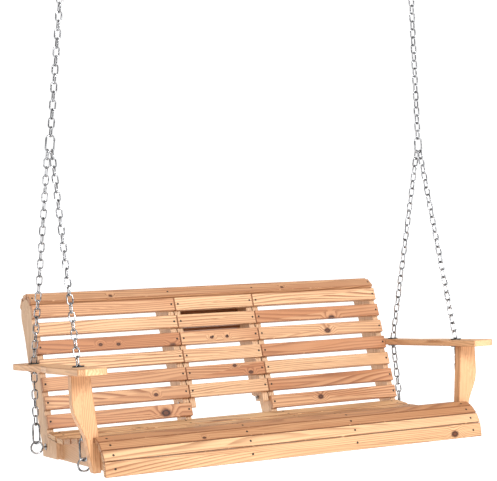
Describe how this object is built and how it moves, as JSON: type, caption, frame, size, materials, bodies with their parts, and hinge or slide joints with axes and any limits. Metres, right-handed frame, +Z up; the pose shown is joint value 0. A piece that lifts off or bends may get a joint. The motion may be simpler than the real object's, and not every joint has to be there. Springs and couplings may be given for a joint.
{
  "type": "porch swing",
  "caption": "Hanging slatted timber bench with contoured seat, reclined back, fold-down middle console, flat arms and galvanised suspension chains.",
  "frame": {"origin": "midway between the two ceiling eyes, on the wire that the chains swing on", "axes": "+X along the bench to its left-hand sitter side, +Y to the rear, +Z up"},
  "size_m": [1.644, 0.9172, 1.9092],
  "materials": {
    "chain_zinc": "bright zinc plated",
    "hardware_zinc": "bright zinc plated",
    "grommet_black": "satin black",
    "screw_steel": "dull",
    "board_wood": "oiled",
    "arm_wood": "satin, sealed",
    "seat_wood": "satin, sealed",
    "frame_wood": "satin, sealed",
    "back_wood": "satin, sealed"
  },
  "bodies": {
    "ceiling": {"ceiling_eyes": "hardware_zinc"},
    "bench": {"upper_chains": "chain_zinc", "apex_hooks": "hardware_zinc", "chain_front_left": "chain_zinc", "chain_rear_left": "chain_zinc", "chain_front_right": "chain_zinc", "chain_rear_right": "chain_zinc", "lower_hooks": "hardware_zinc", "gate_pins": "hardware_zinc", "eye_bolts": "hardware_zinc", "bolt_washers": "hardware_zinc", "bolt_nuts": "hardware_zinc", "grommets_upper": "grommet_black", "grommets_lower": "grommet_black", "arm_left": "arm_wood", "arm_right": "arm_wood", "post_left": "arm_wood", "post_right": "arm_wood", "arm_screws": "screw_steel", "outer_rails": "frame_wood", "inner_rails": "frame_wood", "outer_supports": "frame_wood", "middle_supports": "frame_wood", "seat_slat_1": "seat_wood", "seat_slat_2": "seat_wood", "seat_slat_3": "seat_wood", "seat_slat_4": "seat_wood", "seat_slat_5": "seat_wood", "seat_slat_6": "seat_wood", "seat_slat_7": "seat_wood", "seat_slat_8": "seat_wood", "seat_slat_9": "seat_wood", "seat_slat_10": "seat_wood", "seat_screws": "screw_steel", "top_slat_front": "back_wood", "top_slat_crown": "back_wood", "top_slat_rear": "back_wood", "top_screws": "screw_steel", "back_slats_left": "back_wood", "back_slats_right": "back_wood", "back_screws": "screw_steel", "hinge_bolts": "hardware_zinc", "console_stop": "frame_wood"},
    "console": {"console_rails": "frame_wood", "console_slats": "back_wood", "console_board": "board_wood", "console_batten": "frame_wood", "console_screws": "screw_steel"},
    "gate_apex_left": {"gate_apex_left": "hardware_zinc"},
    "gate_front_left": {"gate_front_left": "hardware_zinc"},
    "gate_rear_left": {"gate_rear_left": "hardware_zinc"},
    "gate_apex_right": {"gate_apex_right": "hardware_zinc"},
    "gate_front_right": {"gate_front_right": "hardware_zinc"},
    "gate_rear_right": {"gate_rear_right": "hardware_zinc"}
  },
  "joints": [
    {"name": "bench_sway", "type": "hinge", "parent": "ceiling", "child": "bench", "pos_m": [0, 0, 0], "axis": [1, 0, 0], "range_deg": [-20, 20]},
    {"name": "console_fold", "type": "hinge", "parent": "bench", "child": "console", "pos_m": [0, 0.16562, -1.66274], "axis": [1, 0, 0], "range_deg": [0, 105]},
    {"name": "gate_apex_left_press", "type": "hinge", "parent": "bench", "child": "gate_apex_left", "pos_m": [-0.74989, 0, -0.65647], "axis": [0, 1, 0], "range_deg": [0, 25], "stiffness_Nm_per_rad": 0.05, "springref_deg": -20.05},
    {"name": "gate_front_left_press", "type": "hinge", "parent": "bench", "child": "gate_front_left", "pos_m": [-0.75081, -0.32545, -1.66113], "axis": [0.7071, 0.7012, -0.0911], "range_deg": [0, 25], "stiffness_Nm_per_rad": 0.05, "springref_deg": -20.05},
    {"name": "gate_rear_left_press", "type": "hinge", "parent": "bench", "child": "gate_rear_left", "pos_m": [-0.76981, 0.12103, -1.69399], "axis": [0.7071, 0.7012, -0.0911], "range_deg": [0, 25], "stiffness_Nm_per_rad": 0.05, "springref_deg": -20.05},
    {"name": "gate_apex_right_press", "type": "hinge", "parent": "bench", "child": "gate_apex_right", "pos_m": [0.77981, 0, -0.65422], "axis": [0, 1, 0], "range_deg": [0, 25], "stiffness_Nm_per_rad": 0.05, "springref_deg": -20.05},
    {"name": "gate_front_right_press", "type": "hinge", "parent": "bench", "child": "gate_front_right", "pos_m": [0.76919, -0.30722, -1.6635], "axis": [-0.7071, 0.7012, -0.0911], "range_deg": [0, 25], "stiffness_Nm_per_rad": 0.05, "springref_deg": -20.05},
    {"name": "gate_rear_right_press", "type": "hinge", "parent": "bench", "child": "gate_rear_right", "pos_m": [0.78819, 0.13926, -1.69636], "axis": [-0.7071, 0.7012, -0.0911], "range_deg": [0, 25], "stiffness_Nm_per_rad": 0.05, "springref_deg": -20.05}
  ]
}
